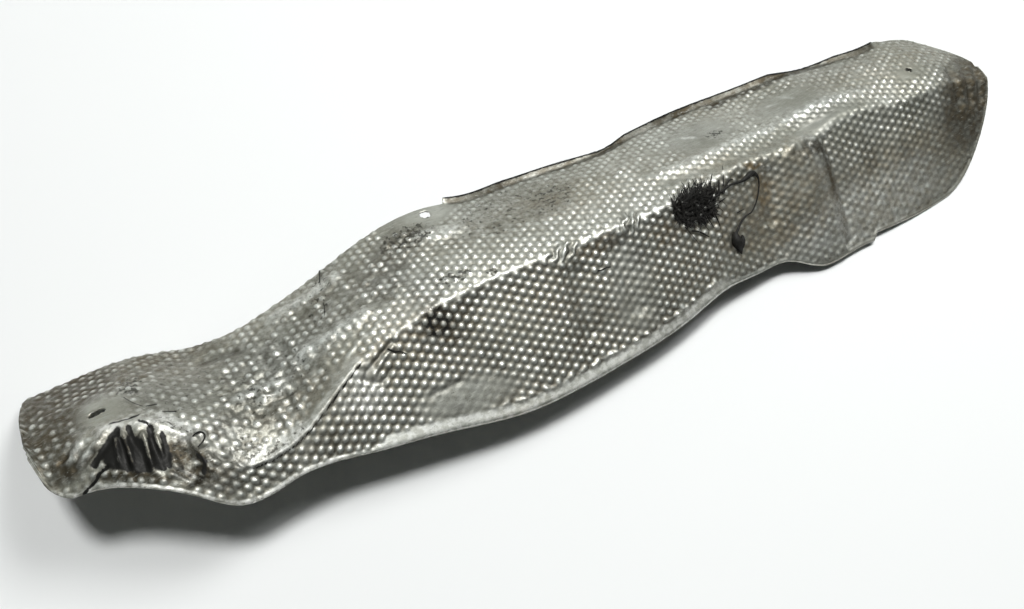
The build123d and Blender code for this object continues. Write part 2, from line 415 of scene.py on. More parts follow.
# rows across the shield and the height of the sheet along each, by rays from above
def sampleRows():
    fine = sheet["rowStep"] / sheet["stepsPerDimple"]
    low = cadPoints.min(0)
    high = cadPoints.max(0)
    firstIndex = math.ceil((low[0] + sheet["rimMargin"] - sheet["firstRow"]) / fine)
    lastIndex = math.floor((high[0] - sheet["rimMargin"] - sheet["firstRow"]) / fine)
    indexes = np.arange(firstIndex, lastIndex + 1)
    rowX = sheet["firstRow"] + indexes * fine
    rowX[0] = low[0] + sheet["rimMargin"]
    rowX[-1] = high[0] - sheet["rimMargin"]
    firstY = math.floor(low[1]) - sheet["sampleMargin"]
    lastY = math.ceil(high[1]) + sheet["sampleMargin"]
    sampleY = np.arange(firstY, lastY + 1, sheet["sampleStep"])
    heights = np.full((len(rowX), len(sampleY)), np.nan)
    rims = []
    down = Vector((0, 0, -1))
    top = high[2] + sheet["rayStart"]

    def heightAt(x, y):
        spot = sheetTree.ray_cast(Vector((x, y, top)), down)[0]
        return np.nan if spot is None else spot.z

    def rimBetween(x, outside, inside):
        for halving in range(sheet["rimHalvings"]):
            half = (outside + inside) / 2
            if np.isnan(heightAt(x, half)):
                outside = half
            else:
                inside = half
        return inside

    for row, x in enumerate(rowX):
        for column, y in enumerate(sampleY):
            heights[row, column] = heightAt(x, y)
        hit = np.flatnonzero(~np.isnan(heights[row]))
        front = rimBetween(x, sampleY[hit[0] - 1], sampleY[hit[0]])
        back = rimBetween(x, sampleY[hit[-1] + 1], sampleY[hit[-1]])
        rims.append((front, back))
        inside = slice(hit[0], hit[-1] + 1)
        gaps = np.isnan(heights[row, inside])
        if gaps.any():
            known = np.flatnonzero(~gaps)
            heights[row, inside] = np.interp(np.arange(len(gaps)), known, heights[row, inside][known])
    return indexes, rowX, sampleY, heights, np.array(rims)


# evens out the CAD facets: a small weighted blur that keeps to the sheet
def evenOut(heights):
    known = ~np.isnan(heights)
    total = np.where(known, heights, 0.0)
    weight = known.astype(float)
    for axis, spread in enumerate((sheet["evenRows"], sheet["evenSamples"])):
        reach = int(math.ceil(spread * sheet["evenReach"]))
        sumTotal = np.zeros_like(total)
        sumWeight = np.zeros_like(weight)
        for shift in range(-reach, reach + 1):
            share = math.exp(-0.5 * (shift / spread) ** 2)
            sumTotal += share * np.roll(total, shift, axis)
            sumWeight += share * np.roll(weight, shift, axis)
        total, weight = sumTotal, sumWeight
    smooth = np.full_like(heights, np.nan)
    smooth[known] = total[known] / weight[known]
    return smooth


rowIndexes, rowX, sampleY, heights, rims = sampleRows()
# the blur pulls a sloping rim inwards, so close to it the sampled height stays
nearRim = np.zeros(heights.shape, bool)
for axis, reach in enumerate((sheet["rimRows"], sheet["rimSamples"])):
    nearRim |= np.isnan(np.roll(heights, reach, axis)) | np.isnan(np.roll(heights, -reach, axis))
heights = np.where(nearRim, heights, evenOut(heights))
print("stage: sheet sampled,", len(rowX), "rows")


def smoothStep(low, high, value):
    share = np.clip((value - low) / (high - low), 0, 1)
    return share * share * (3 - 2 * share)


# 1 at a set distance, falling softly to 0 on both sides of it
def hump(distance, at, width):
    return np.exp(-(((distance - at) / width) ** 2))


# unrolled net: each row's points are spaced along its own arc
def netPoints():
    fine = sheet["acrossStep"] / sheet["stepsPerDimple"]
    points, across, rowOf, spans = [], [], [], []
    ids = {}
    for row, x in enumerate(rowX):
        front, back = rims[row]
        known = ~np.isnan(heights[row])
        inner = known & (sampleY > front + sheet["rimClear"]) & (sampleY < back - sheet["rimClear"])
        known = inner if inner.sum() > sheet["fewInside"] else known
        y = np.concatenate([[front], sampleY[known], [back]])
        z = heights[row][known]
        z = np.concatenate([[z[0]], z, [z[-1]]])
        if len(z) > sheet["fewInRow"]:
            z[0] = z[1] + (z[1] - z[2]) * (y[1] - y[0]) / sheet["sampleStep"]
            z[-1] = z[-2] + (z[-2] - z[-3]) * (y[-1] - y[-2]) / sheet["sampleStep"]
        arc = np.concatenate([[0], np.cumsum(np.hypot(np.diff(y), np.diff(z)))])
        arc = arc - np.interp(sheet["middleLine"], y, arc)
        spans.append((arc[0], arc[-1]))
        shift = sheet["firstAcross"] + (rowIndexes[row] % 2) * fine / 2
        first = math.floor((arc[0] - shift) / fine)
        last = math.ceil((arc[-1] - shift) / fine)
        for column in range(first - 1, last + 2):
            place = shift + column * fine
            if place < arc[0] + fine / 2:
                key = (row, "front")
                place = arc[0]
            elif place > arc[-1] - fine / 2:
                key = (row, "back")
                place = arc[-1]
            else:
                key = (row, column)
                fromFront = place - arc[0]
                fromBack = arc[-1] - place
                frontShare = 1 - smoothStep(*sheet["rimFollow"], fromFront)
                backShare = 1 - smoothStep(*sheet["rimFollow"], fromBack)
                place -= frontShare * (fromFront - round(fromFront / fine) * fine)
                place += backShare * (fromBack - round(fromBack / fine) * fine)
            if key not in ids:
                ids[key] = len(points)
                points.append((x, np.interp(place, arc, y), np.interp(place, arc, z)))
                across.append(place)
                rowOf.append(row)
            ids[(row, column)] = ids[key]
        ids[(row, "span")] = (first - 1, last + 1)
    return np.array(points), np.array(across), np.array(rowOf), ids, np.array(spans)


def netFaces(ids):
    faces = []

    def at(row, column):
        low, high = ids[(row, "span")]
        return ids[(row, min(max(column, low), high))]

    for row in range(len(rowX) - 1):
        first = min(ids[(row, "span")][0], ids[(row + 1, "span")][0])
        last = max(ids[(row, "span")][1], ids[(row + 1, "span")][1])
        odd = rowIndexes[row] % 2
        for column in range(first - 1, last + 2):
            here, nextHere = at(row, column), at(row, column + 1)
            there, nextThere = at(row + 1, column), at(row + 1, column + 1)
            if odd:
                pair = ((here, there, nextThere), (here, nextThere, nextHere))
            else:
                pair = ((here, there, nextHere), (nextHere, there, nextThere))
            for face in pair:
                if len(set(face)) == 3:
                    faces.append(face)
    return np.array(faces)


base, across, rowOf, ids, spans = netPoints()
faces = netFaces(ids)
print("stage: net laid,", len(base), "points,", len(faces), "faces")

# fixing holes: net points beside an edge move on to it, and faces inside go
holes = {
    "slot": {"at": (38.0, 118.0, 80.5), "lean": (-0.06, 0.19, 1.0), "length": 14.0, "width": 6.5},
    "locating": {"at": (351.5, 177.0, 89.5), "lean": (0, 0, 1), "length": 10.0, "width": 10.0},
    "fixing": {"at": (860.0, 105.0, 97.0), "lean": (0, 0, 1), "length": 7.0, "width": 7.0},
}
holeEdge = {"snap": 1.05, "depth": 15.0}


def heightBetween(x, y):
    row = int(np.clip(np.searchsorted(rowX, x) - 1, 0, len(rowX) - 2))
    share = (x - rowX[row]) / (rowX[row + 1] - rowX[row])
    column = (y - sampleY[0]) / sheet["sampleStep"]
    low = int(column)
    part = column - low
    near = heights[row, low] * (1 - part) + heights[row, low + 1] * part
    far = heights[row + 1, low] * (1 - part) + heights[row + 1, low + 1] * part
    return near * (1 - share) + far * share


inHole = np.zeros(len(base), bool)
for hole in holes.values():
    lean = Vector(hole["lean"]).normalized()
    side = (Vector((1, 0, 0)) - lean * lean.x).normalized()
    cross = lean.cross(side)
    radius = hole["width"] / 2
    straight = hole["length"] / 2 - radius
    away = base - np.array(hole["at"])
    level = np.abs(away[:, 2]) < holeEdge["depth"]
    along = away @ np.array(side)
    over = away @ np.array(cross)
    beyond = along - np.clip(along, -straight, straight)
    reach = np.hypot(beyond, over)
    gap = reach - radius
    for index in np.flatnonzero((np.abs(gap) < holeEdge["snap"]) & level):
        scale = radius / reach[index]
        newAlong = along[index] - beyond[index] * (1 - scale)
        newOver = over[index] * scale
        x = hole["at"][0] + side.x * newAlong + cross.x * newOver
        y = hole["at"][1] + side.y * newAlong + cross.y * newOver
        base[index] = (x, y, heightBetween(x, y))
    inHole |= (gap < -holeEdge["snap"]) & level
faces = faces[~inHole[faces].any(1)]
print("stage: holes opened")


def vertexNormals(points):
    one = points[faces[:, 1]] - points[faces[:, 0]]
    two = points[faces[:, 2]] - points[faces[:, 0]]
    push = np.cross(one, two)
    total = np.zeros_like(points)
    for corner in range(3):
        np.add.at(total, faces[:, corner], push)
    tiny = 1e-9
    return total / np.maximum(np.linalg.norm(total, axis=1), tiny)[:, None]


normals = vertexNormals(base)
if normals[:, 2].mean() < 0:
    faces = faces[:, ::-1]
    normals = -normals
pixels = toPhoto(base)
pixelX = pixels[:, 0]


# distance in pixels to a path, the same distance signed (positive on the right of its run), and the share of
# the path's length at that place
def fromPath(path):
    points = np.array(path, float)
    best = np.full(len(pixels), np.inf)
    side = np.zeros(len(pixels))
    along = np.zeros(len(pixels))
    lengths = np.linalg.norm(np.diff(points, axis=0), axis=1)
    starts = np.concatenate([[0], np.cumsum(lengths)])
    for index in range(len(points) - 1):
        run = points[index + 1] - points[index]
        away = pixels - points[index]
        share = np.clip(away @ run / (run @ run), 0, 1)
        distance = np.linalg.norm(away - share[:, None] * run, axis=1)
        nearer = distance < best
        best[nearer] = distance[nearer]
        side[nearer] = np.sign(run[0] * away[:, 1] - run[1] * away[:, 0])[nearer]
        along[nearer] = (starts[index] + share[nearer] * lengths[index]) / starts[-1]
    return best, best * side, along


# 1 at the middle of a soft oval area, falling to 0 outside it
def inArea(area, soft):
    x, y, halfWidth, halfHeight, tilt = area["oval"]
    angle = math.radians(tilt)
    away = pixels - np.array([x, y])
    wide = (away[:, 0] * math.cos(angle) + away[:, 1] * math.sin(angle)) / halfWidth
    tall = (-away[:, 0] * math.sin(angle) + away[:, 1] * math.cos(angle)) / halfHeight
    return 1 - smoothStep(1 - soft, 1 + soft, np.hypot(wide, tall))


# soft unevenness made of a few crossing waves of about one size in mm, mostly from -1 to 1
ripple = {"count": 7, "lengths": (0.7, 1.5), "evenBy": 4}


def waves(size, seed):
    dice = np.random.default_rng(seed)
    total = np.zeros(len(base))
    for wave in range(ripple["count"]):
        angle = dice.uniform(0, math.pi)
        length = size * dice.uniform(*ripple["lengths"])
        start = dice.uniform(0, 2 * math.pi)
        run = base[:, 0] * math.cos(angle) + across * math.sin(angle)
        total += np.sin(run * 2 * math.pi / length + start)
    return total / ripple["evenBy"]


# each dimple's luck is a settled but scattered number from 0 to 1, by its row and column
scatter = {"byRow": 971, "byColumn": 131, "turn": 12.9898, "spread": 43758.5453}


# the net's dimples: height by distance to the nearest one, and that dimple's luck
def dimples():
    drawn = (1 - smoothStep(*sheet["drawnEnds"], base[:, 0])) * np.clip(across - sheet["drawnFrom"], 0, None)
    wanderAlong = sheet["wander"] * waves(*sheet["wanderAlong"])
    wanderAcross = sheet["wander"] * waves(*sheet["wanderAcross"])
    x = base[:, 0] - sheet["firstRow"] + wanderAlong - sheet["drawnSkew"] * drawn
    v = across - sheet["firstAcross"] + wanderAcross - sheet["drawnShare"] * drawn
    best = np.full(len(base), np.inf)
    label = np.zeros(len(base))
    for offset in (0, 1):
        row = np.floor(x / sheet["rowStep"]) + offset
        shift = (row % 2) * sheet["acrossStep"] / 2
        column = np.round((v - shift) / sheet["acrossStep"])
        gap = np.hypot(x - row * sheet["rowStep"], v - shift - column * sheet["acrossStep"])
        nearer = gap < best
        best[nearer] = gap[nearer]
        label[nearer] = (row * scatter["byRow"] + column * scatter["byColumn"])[nearer]
    shape = 0.5 + 0.5 * np.cos(np.pi * np.clip(best / sheet["dimpleRadius"], 0, 1))
    luck = np.modf(np.abs(np.sin(label * scatter["turn"]) * scatter["spread"]))[0]
    return shape, luck


# how far each point is from any rim, and from the front and back rims along its row
edgeUses = {}
for face in faces:
    for corner in range(3):
        edge = tuple(sorted((int(face[corner]), int(face[(corner + 1) % 3]))))
        edgeUses[edge] = edgeUses.get(edge, 0) + 1
rimPoints = sorted({index for edge, uses in edgeUses.items() if uses == 1 for index in edge})
rimTree = kdtree.KDTree(len(rimPoints))
for order, index in enumerate(rimPoints):
    rimTree.insert(Vector(base[index]), order)
rimTree.balance()
rimGap = np.array([rimTree.find(Vector(point))[2] for point in base])
frontGap = across - spans[rowOf, 0]
backGap = spans[rowOf, 1] - across

# the sheet as pressed: where the skirt lies in mm, how much of the dimples is kept, slow swells in mm, and
# the first grime, soil and mottle as shares. A wave is its size in mm and its seed
pressed = {
    "skirtAcross": (-14, 10),
    "skirtAlong": (150, 210),
    "kept": {
        "skirt": {"least": 0.78, "luck": 0.32, "uneven": 0.22, "wave": (70, 2)},
        "top": {"least": 0.6, "luck": 0.45, "uneven": 0.2, "wave": (32, 3)},
    },
    "swells": (
        {"on": "all", "rise": 0.45, "wave": (85, 5)},
        {"on": "all", "rise": 0.2, "wave": (38, 6)},
        {"on": "top", "rise": 0.2, "wave": (19, 7)},
        {"on": "skirt", "rise": 0.7, "wave": (95, 9)},
    ),
    "grime": 0.1,
    "grimeUneven": 0.15,
    "grimeWave": (110, 8),
    "soilUneven": 0.5,
    "soilWave": (48, 17),
    "soilLess": 0.1,
    "soilMost": 0.35,
    "mottle": 0.8,
    "skirtMottleLess": 0.45,
    "mostMark": 1.2,
}
dimple, luck = dimples()
skirt = (1 - smoothStep(*pressed["skirtAcross"], across)) * smoothStep(*pressed["skirtAlong"], base[:, 0])
parts = {"all": np.ones(len(base)), "skirt": skirt, "top": 1 - skirt}
keep = np.zeros(len(base))
for part, kept in pressed["kept"].items():
    keep += parts[part] * (kept["least"] + kept["luck"] * luck + kept["uneven"] * waves(*kept["wave"]))
raised = np.zeros(len(base))
for swell in pressed["swells"]:
    raised += parts[swell["on"]] * swell["rise"] * waves(*swell["wave"])

# marks are shares from 0 to about 1 at each point, and drive the material. The tips and the shine are worn
# metal with painted highlights, the soil is dirt with painted shade, the tar is tar with painted shadow
# lines, and the valleys between the dimples are dirt with painted shade
markNames = ("tip", "valleyShadeAndDirt", "soilAndPaintedShade", "shineAndPaintedHighlight", "grime", "tarAndPaintedShadow", "fleck", "mottle", "scuff")
laidNames = ("soilAndPaintedShade", "shineAndPaintedHighlight", "grime", "tarAndPaintedShadow", "fleck", "scuff")
marks = {name: np.zeros(len(base)) for name in markNames}
marks["grime"] = np.clip(pressed["grime"] + pressed["grimeUneven"] * waves(*pressed["grimeWave"]), 0, 1)
soilWave = pressed["soilUneven"] * waves(*pressed["soilWave"])
marks["soilAndPaintedShade"] = skirt * np.clip(soilWave - pressed["soilLess"], 0, pressed["soilMost"])
marks["mottle"] = pressed["mottle"] - pressed["skirtMottleLess"] * skirt


# where marks overlap, the strongest one counts
def mark(name, share):
    marks[name] = np.maximum(marks[name], share)


# areas: tar in the valleys keeps between the dimples, and a crumpled area loses some dimples and swells
crumpled = {
    "areaSoft": 0.45,
    "tarDepth": (0.15, 0.6),
    "flat": 0.75,
    "luckPower": 1.5,
    "swells": ({"rise": 1.0, "wave": (18, 31)}, {"rise": 0.55, "wave": (9, 32)}),
}
crumple = np.zeros(len(base))
betweenDimples = 1 - smoothStep(*crumpled["tarDepth"], dimple)
for area in areas.values():
    inside = inArea(area, crumpled["areaSoft"])
    keep *= 1 - area.get("flat", 0) * inside
    raised += area.get("rise", 0) * inside
    marks["mottle"] += area.get("mottle", 0) * inside
    crumple = np.maximum(crumple, area.get("crumple", 0) * inside)
    for name in laidNames:
        mark(name, area.get(name, 0) * inside)
    mark("tarAndPaintedShadow", area.get("tarValley", 0) * inside * betweenDimples)
keep *= 1 - crumpled["flat"] * crumple * (1 - luck) ** crumpled["luckPower"]
raised += crumple * sum(swell["rise"] * waves(*swell["wave"]) for swell in crumpled["swells"])

# lines: below a shoulder line the skirt is darker
darkBelowShoulder = {"share": 0.75, "width": 15, "start": (1.5, 4)}
for name, line in lines.items():
    gap, rightOf, along = fromPath(line["path"])
    near = hump(gap, 0, line["width"])
    if "fade" in line:
        near *= smoothStep(0, line["fade"], along) * (1 - smoothStep(1 - line["fade"], 1, along))
    keep *= 1 - line.get("flat", 0) * near
    raised += line.get("rise", 0) * near
    for laid in laidNames:
        mark(laid, line.get(laid, 0) * near)
    marks["tarAndPaintedShadow"] *= 1 - line.get("clean", 0) * near
    if name.startswith("shoulder"):
        below = hump(gap, 0, darkBelowShoulder["width"]) * smoothStep(*darkBelowShoulder["start"], rightOf)
        mark("soilAndPaintedShade", darkBelowShoulder["share"] * below * skirt)

# the S-shaped crease beside the saddle: a sharp rise that falls away slowly, with a flat, scuffed band on it
# that carries a painted highlight, and a painted shadow line and painted shade at its foot. Rises are in mm,
# and places across it in pixels
sCrease = {
    "path": [
        (367, 355), (357, 367), (342, 387), (325, 410), (310, 430),
        (292, 447), (272, 460), (252, 468), (244, 469),
    ],
    "fadeIn": (0, 0.08),
    "fadeOut": (0.9, 1.0),
    "fadeOutShare": 0.5,
    "rise": 2.4,
    "edge": (-1.2, 1.2),
    "fallAway": 9,
    "bandStart": (-1.5, 0.5),
    "bandEnd": (5, 9),
    "flat": 0.95,
    "shineAndPaintedHighlight": 0.85,
    "scuff": 0.4,
    "darkAt": -2.0,
    "darkWidth": 1.6,
    "tarAndPaintedShadow": 0.68,
    "shadowLineAt": -1.2,
    "shadowLineWidth": 1.1,
}
rightOf, along = fromPath(sCrease["path"])[1:]
fadeOut = 1 - sCrease["fadeOutShare"] * smoothStep(*sCrease["fadeOut"], along)
fade = smoothStep(*sCrease["fadeIn"], along) * fadeOut
fall = np.exp(-np.clip(rightOf, 0, None) / sCrease["fallAway"])
raised += fade * sCrease["rise"] * smoothStep(*sCrease["edge"], rightOf) * fall
band = fade * smoothStep(*sCrease["bandStart"], rightOf) * (1 - smoothStep(*sCrease["bandEnd"], rightOf))
keep *= 1 - sCrease["flat"] * band
mark("shineAndPaintedHighlight", sCrease["shineAndPaintedHighlight"] * band)
mark("scuff", sCrease["scuff"] * band)
mark("soilAndPaintedShade", fade * hump(rightOf, sCrease["darkAt"], sCrease["darkWidth"]))
mark("tarAndPaintedShadow", sCrease["tarAndPaintedShadow"] * fade * hump(rightOf, sCrease["shadowLineAt"], sCrease["shadowLineWidth"]))

# the step at the lobe: the panel on its left stands up, with a groove at its foot, painted shade along the
# step and a painted highlight on the panel beside it
panelStep = {
    "path": [(813, 138), (820, 155), (828, 180), (837, 210), (843, 236)],
    "fadeIn": (0, 0.08),
    "rise": 2.8,
    "edge": (-9, 5),
    "panelEnd": (14, 50),
    "groove": 1.2,
    "grooveAt": -8,
    "grooveWidth": 4.5,
    "flat": 0.35,
    "flatAt": -2,
    "flatWidth": 3.5,
    "soilAndPaintedShade": 0.9,
    "darkAt": -2.5,
    "darkWidth": 5.5,
    "shineAndPaintedHighlight": 0.5,
    "highlightAt": 7,
    "highlightWidth": 3.0,
}
rightOf, along = fromPath(panelStep["path"])[1:]
fade = smoothStep(*panelStep["fadeIn"], along)
panel = fade * panelStep["rise"] * smoothStep(*panelStep["edge"], rightOf)
raised += panel * (1 - smoothStep(*panelStep["panelEnd"], rightOf))
raised -= fade * panelStep["groove"] * hump(rightOf, panelStep["grooveAt"], panelStep["grooveWidth"])
keep *= 1 - panelStep["flat"] * hump(rightOf, panelStep["flatAt"], panelStep["flatWidth"])
mark("soilAndPaintedShade", panelStep["soilAndPaintedShade"] * fade * hump(rightOf, panelStep["darkAt"], panelStep["darkWidth"]))
mark("shineAndPaintedHighlight", panelStep["shineAndPaintedHighlight"] * fade * hump(rightOf, panelStep["highlightAt"], panelStep["highlightWidth"]))

# crushed pleats in the front of the dome stand out of the dark of the dent, tar with painted shade, and are
# lower towards their ends
pleats = {
    "rise": 2.4,
    "soilAndPaintedShade": 0.6,
    "lowEnd": (0.6, 1.0),
    "lowShare": 0.6,
    "ridges": {
        "pleatOne": {"path": [(104, 436), (98, 447), (91, 458)], "width": 3.2, "bare": 0.9},
        "pleatTwo": {"path": [(115, 438), (117, 452), (120, 468)], "width": 2.0, "bare": 0.5},
        "pleatThree": {"path": [(122, 432), (128, 448), (135, 471)], "width": 2.6, "bare": 0.62},
        "pleatFour": {"path": [(143, 434), (148, 450), (154, 472)], "width": 2.8, "bare": 0.66},
        "pleatFive": {"path": [(156, 436), (159, 444), (163, 454)], "width": 2.0, "bare": 0.5},
    },
}
for pleat in pleats["ridges"].values():
    gap, rightOf, along = fromPath(pleat["path"])
    near = hump(gap, 0, pleat["width"])
    near *= 1 - pleats["lowShare"] * smoothStep(*pleats["lowEnd"], along)
    raised += pleats["rise"] * near
    marks["tarAndPaintedShadow"] *= 1 - pleat["bare"] * near
    mark("soilAndPaintedShade", pleats["soilAndPaintedShade"] * near)

# buckled folds where the shoulder is pinched, with painted shade in their troughs and a painted highlight on
# their crests: their turn in degrees, and from fold to fold in pixels
buckles = {
    "soft": 0.35,
    "rise": 1.5,
    "sway": 2.4,
    "swayWave": (12, 13),
    "edge": (0.2, 0.9),
    "soilAndPaintedShade": 0.8,
    "shineAndPaintedHighlight": 0.7,
    "folds": {"notchLeft": {"turn": 20, "length": 7.5}, "notchRight": {"turn": 0, "length": 7.0}},
}
for name, fold in buckles["folds"].items():
    angle = math.radians(fold["turn"])
    run = pixelX * math.cos(angle) + pixels[:, 1] * math.sin(angle)
    inside = inArea(areas[name], buckles["soft"])
    run = run + buckles["sway"] * waves(*buckles["swayWave"])
    wave = np.sin(2 * math.pi * run / fold["length"])
    raised += inside * buckles["rise"] * wave
    mark("soilAndPaintedShade", buckles["soilAndPaintedShade"] * inside * smoothStep(*buckles["edge"], -wave))
    mark("shineAndPaintedHighlight", buckles["shineAndPaintedHighlight"] * inside * smoothStep(*buckles["edge"], wave))

# plain, scuffed hem along the front rim, wider on the long skirt, with a painted highlight along it and a
# dark
# line beside it round the dome: starts and ends in pixels across the photograph, and sizes in mm
hem = {
    "start": (46, 62),
    "longStart": (372, 392),
    "longEnd": (715, 745),
    "width": 3.6,
    "longWider": 7.4,
    "edge": (0.8, 1.15),
    "rise": 1.8,
    "longLower": 0.2,
    "clean": 0.7,
    "shineAndPaintedHighlight": 0.75,
    "highlightEnd": (745, 800),
    "soilAndPaintedShade": 0.5,
    "darkAt": 5.5,
    "darkWidth": 1.5,
    "domeEnd": (330, 372),
    "domeScuff": 1.0,
    "longScuff": 0.75,
}
longHem = smoothStep(*hem["longStart"], pixelX) * (1 - smoothStep(*hem["longEnd"], pixelX))
hemWidth = hem["width"] + hem["longWider"] * longHem
hemOn = smoothStep(*hem["start"], pixelX)
onHem = (1 - smoothStep(*hem["edge"], frontGap / hemWidth)) * hemOn
keep *= 1 - onHem
raised += (hem["rise"] - hem["longLower"] * longHem) * onHem * (1 - frontGap / hemWidth)
marks["soilAndPaintedShade"] *= 1 - hem["clean"] * onHem
mark("shineAndPaintedHighlight", hem["shineAndPaintedHighlight"] * onHem * (1 - smoothStep(*hem["highlightEnd"], pixelX)))
mark("soilAndPaintedShade", hem["soilAndPaintedShade"] * hemOn * (1 - longHem) * hump(frontGap, hem["darkAt"], hem["darkWidth"]))
domeHem = 1 - smoothStep(*hem["domeEnd"], pixelX)
mark("scuff", onHem * (hem["domeScuff"] * domeHem + hem["longScuff"] * longHem))

# a row of crushed dimples just above the long hem, in uneven teeth with a painted highlight and painted shade
# between them
crushedRow = {
    "at": 1.1,
    "width": 1.9,
    "start": (470, 540),
    "teeth": 0.3,
    "teethUneven": 1.4,
    "teethWave": (11, 23),
    "rise": 2.0,
    "shineAndPaintedHighlight": 1.0,
    "soilAndPaintedShade": 0.5,
}
crushed = hump(frontGap, hemWidth * crushedRow["at"], crushedRow["width"]) * longHem
crushed = crushed * smoothStep(*crushedRow["start"], pixelX)
teeth = np.clip(crushedRow["teeth"] + crushedRow["teethUneven"] * waves(*crushedRow["teethWave"]), 0, 1)
raised += crushedRow["rise"] * crushed * teeth
mark("shineAndPaintedHighlight", crushedRow["shineAndPaintedHighlight"] * crushed * teeth)
mark("soilAndPaintedShade", crushedRow["soilAndPaintedShade"] * crushed * (1 - teeth))

# the plain back lip, in mm along the shield and from its rim: dirt and painted shade darken it, with a
# painted shadow line along its rim
backLip = {
    "start": (374, 378),
    "end": (866, 870),
    "edge": (7.5, 10.0),
    "grime": 0.15,
    "soilAndPaintedShade": 0.85,
    "soilUneven": 0.2,
    "soilWave": (70, 51),
    "tarAndPaintedShadow": 0.9,
    "rimShadowEdge": (0.8, 2.4),
}
onLip = smoothStep(*backLip["start"], base[:, 0]) * (1 - smoothStep(*backLip["end"], base[:, 0]))
onLip = onLip * (1 - smoothStep(*backLip["edge"], backGap))
keep *= 1 - onLip
mark("grime", backLip["grime"] * onLip)
mark("soilAndPaintedShade", onLip * (backLip["soilAndPaintedShade"] + backLip["soilUneven"] * waves(*backLip["soilWave"])))
mark("tarAndPaintedShadow", backLip["tarAndPaintedShadow"] * onLip * (1 - smoothStep(*backLip["rimShadowEdge"], backGap)))

# dimples and folds die out before a rim, but round the dome the back and left rims cut through the dimples
rim = {
    "leftEnd": (38, 60),
    "cutFrom": (0, 6),
    "cutEnd": (300, 330),
    "dimples": (0.5, 3.5),
    "folds": (0.0, 2.5),
}
leftRim = 1 - smoothStep(*rim["leftEnd"], pixelX)
cut = np.maximum(smoothStep(*rim["cutFrom"], frontGap), leftRim)
cut = cut * (1 - smoothStep(*rim["cutEnd"], base[:, 0]))
keep *= np.maximum(smoothStep(*rim["dimples"], rimGap), cut)
raised *= np.maximum(smoothStep(*rim["folds"], rimGap), leftRim)

# bright tips of the dimples, worn metal with a painted highlight, and dark valleys between them, dirt with
# painted shade: tips are smaller at both ends of the shield
wearAndPaintedLight = {
    "mostKept": 1.3,
    "farEnd": (690, 780),
    "leftEnd": (70, 130),
    "leftShare": 0.6,
    "tipFoot": 0.1,
    "tipFootMore": 0.2,
    "tipTop": 0.75,
    "tipTopMore": 0.1,
    "tipKept": (0.05, 0.8),
    "valleyShadeAndDirt": 0.3,
    "skirtValley": 0.55,
    "farValleyLess": 0.5,
    "tipClean": 0.8,
}
keep = np.clip(keep, 0, wearAndPaintedLight["mostKept"])
lift = dimple * keep
farEnd = smoothStep(*wearAndPaintedLight["farEnd"], pixelX)
ends = np.maximum(farEnd, wearAndPaintedLight["leftShare"] * (1 - smoothStep(*wearAndPaintedLight["leftEnd"], pixelX)))
tipFoot = wearAndPaintedLight["tipFoot"] + wearAndPaintedLight["tipFootMore"] * ends
tipTop = wearAndPaintedLight["tipTop"] + wearAndPaintedLight["tipTopMore"] * ends
marks["tip"] = smoothStep(tipFoot, tipTop, lift) * smoothStep(*wearAndPaintedLight["tipKept"], keep)
valleyShadeAndDirt = (wearAndPaintedLight["valleyShadeAndDirt"] + wearAndPaintedLight["skirtValley"] * skirt) * (1 - marks["tip"]) * np.clip(keep, 0, 1)
marks["valleyShadeAndDirt"] = valleyShadeAndDirt * (1 - wearAndPaintedLight["farValleyLess"] * farEnd)
marks["soilAndPaintedShade"] *= 1 - wearAndPaintedLight["tipClean"] * marks["tip"]
shape = base + normals * (raised + sheet["dimpleHeight"] * (lift - sheet["dimpleSink"] * keep))[:, None]
print("stage: dimples and folds raised")


# from the pressing frame in mm to the floor in metres
def place(points):
    moved = points @ np.array(toFloor.to_3x3()).T + np.array(toFloor.translation)
    return moved / mmPerMetre


shieldMesh = bpy.data.meshes.new("heatShieldSheet")
shieldMesh.from_pydata(place(shape).tolist(), [], faces.tolist())
shieldMesh.update()
shield = bpy.data.objects.new("heatShieldSheet", shieldMesh)
bpy.context.scene.collection.objects.link(shield)
for name, values in marks.items():
    layer = shield.data.attributes.new(name, "FLOAT", "POINT")
    layer.data.foreach_set("value", np.clip(values, 0, pressed["mostMark"]))
bpy.ops.object.select_all(action="DESELECT")
shield.select_set(True)
bpy.context.view_layer.objects.active = shield
bpy.ops.object.shade_smooth()
solid = shield.modifiers.new("sheetThickness", "SOLIDIFY")
solid.thickness = sheet["thickness"] / mmPerMetre
solid.offset = -1
solid.use_rim = True
bpy.ops.object.modifier_apply(modifier=solid.name)
print("stage: sheet thickened,", len(shield.data.polygons), "faces")


def countTriangles(piece):
    return sum(len(face.vertices) - 2 for face in piece.data.polygons)


# the underside is seldom seen, so only it is thinned
under = shield.vertex_groups.new(name="underside")
under.add(list(range(len(base), len(shield.data.vertices))), 1.0, "REPLACE")
thin = shield.modifiers.new("thinUnderside", "DECIMATE")
thin.ratio = sheet["mostFaces"] / countTriangles(shield)
thin.vertex_group = under.name
bpy.ops.object.modifier_apply(modifier=thin.name)
shield.vertex_groups.clear()
print("stage: underside thinned,", countTriangles(shield), "triangles")


def hexColour(code):
    channels = [int(code[i:i + 2], 16) / 255 for i in (1, 3, 5)]
    linear = [c / 12.92 if c <= 0.04045 else ((c + 0.055) / 1.055) ** 2.4 for c in channels]
    return (*linear, 1.0)


# adds one node: settings are its properties, sockets are values or links by input name or number
def addNode(tree, kind, settings=None, sockets=None):
    node = tree.nodes.new(kind)
    for name, value in (settings or {}).items():
        setattr(node, name, value)
    for name, value in (sockets or {}).items():
        if isinstance(value, bpy.types.NodeSocket):
            tree.links.new(value, node.inputs[name])
        else:
            node.inputs[name].default_value = value
    return node


